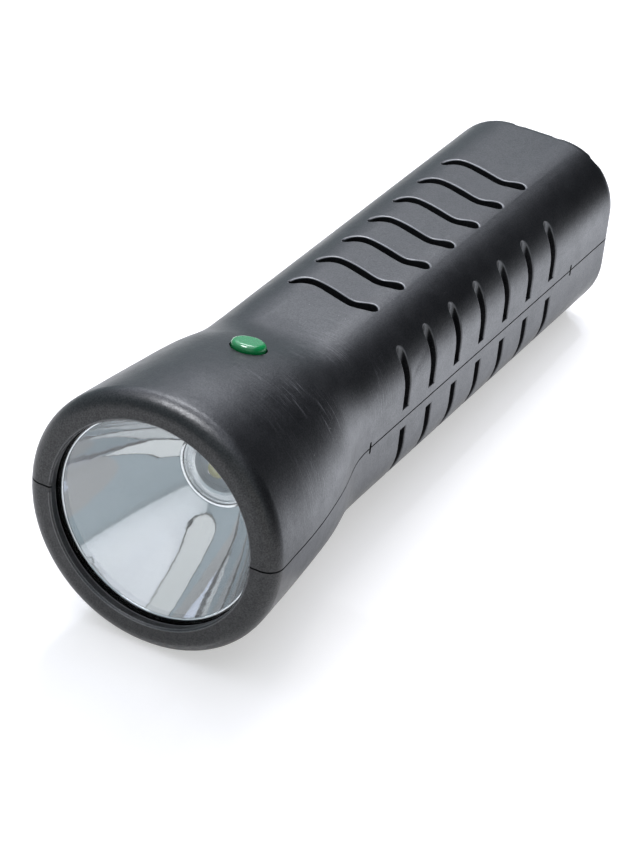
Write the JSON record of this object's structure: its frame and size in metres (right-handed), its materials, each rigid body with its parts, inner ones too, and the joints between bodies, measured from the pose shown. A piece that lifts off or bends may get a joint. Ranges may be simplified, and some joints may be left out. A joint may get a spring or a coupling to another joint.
{
  "type": "flashlight",
  "caption": "Hand-held torch with a flared round head, deep bright reflector, green push button and vented two-part grip.",
  "frame": {"origin": "on the beam axis at mid-length, on the plane where the two shells meet", "axes": "+Y runs along the grip away from the beam, which leaves along -Y; +Z points out of the side that carries the button"},
  "size_m": [0.0518, 0.155, 0.0518],
  "materials": {
    "housing": "satin black moulded plastic with a fine grain",
    "lens_clear": "clear polished disc",
    "seal_rubber": "matte black rubber",
    "reflector_bright": "bright metallised surface",
    "collar_white": "pale glossy plastic",
    "led_board_white": "aluminium core board with pale mask",
    "aluminium_plate": "plain sheet",
    "led_white": "white package",
    "phosphor_yellow": "yellow phosphor",
    "dome_clear": "clear silicone dome",
    "screw_steel": "zinc plated",
    "inner_plastic": "dark moulded plastic",
    "board_green": "green solder mask",
    "ferrite": "dark ferrite and copper",
    "capacitor_can": "dark blue sleeve",
    "chip_black": "moulded black",
    "switch_black": "moulded black",
    "plunger_white": "white moulded plastic",
    "spring_steel": "spring wire",
    "button_green": "glossy green",
    "contact_brass": "formed brass strip",
    "pad_foam": "soft dark foam",
    "wire_red": "red insulation",
    "wire_black": "black insulation",
    "cell_plastic": "dark moulded plastic",
    "anode_metal": "dull pale metal",
    "wick_felt": "pale absorbent felt",
    "cathode_carbon": "dark carbon sheet"
  },
  "bodies": {
    "housing": {"anode_left": "anode_metal", "anode_right": "anode_metal", "bridge_plate": "contact_brass", "cathodes_left": "cathode_carbon", "cathodes_right": "cathode_carbon", "cell_case_left": "cell_plastic", "cell_case_right": "cell_plastic", "cell_terminals": "contact_brass", "cell_wire_black": "wire_black", "cell_wire_red": "wire_red", "chassis": "inner_plastic", "contact_negative": "contact_brass", "contact_positive": "contact_brass", "driver_board": "board_green", "driver_capacitor": "capacitor_can", "driver_chip": "chip_black", "driver_inductor": "ferrite", "driver_screws": "screw_steel", "heat_spreader": "aluminium_plate", "led_board": "led_board_white", "led_collar": "collar_white", "led_dome": "dome_clear", "led_package": "led_white", "led_phosphor": "phosphor_yellow", "led_screws": "screw_steel", "led_wire_black": "wire_black", "led_wire_red": "wire_red", "lens": "lens_clear", "lens_seal": "seal_rubber", "lower_shell": "housing", "reflector": "reflector_bright", "shell_screws": "screw_steel", "switch_body": "switch_black", "switch_spring": "spring_steel", "tail_pad": "pad_foam", "upper_shell": "housing", "wicks_left": "wick_felt", "wicks_right": "wick_felt"},
    "button": {"button_cap": "button_green", "switch_plunger": "plunger_white"}
  },
  "joints": [
    {"name": "button_press", "type": "slide", "parent": "housing", "child": "button", "axis": [0, 0, -1], "range_m": [0, 0.001], "stiffness_N_per_m": 800, "springref_m": -0.001, "deforming": ["switch_spring"]}
  ]
}
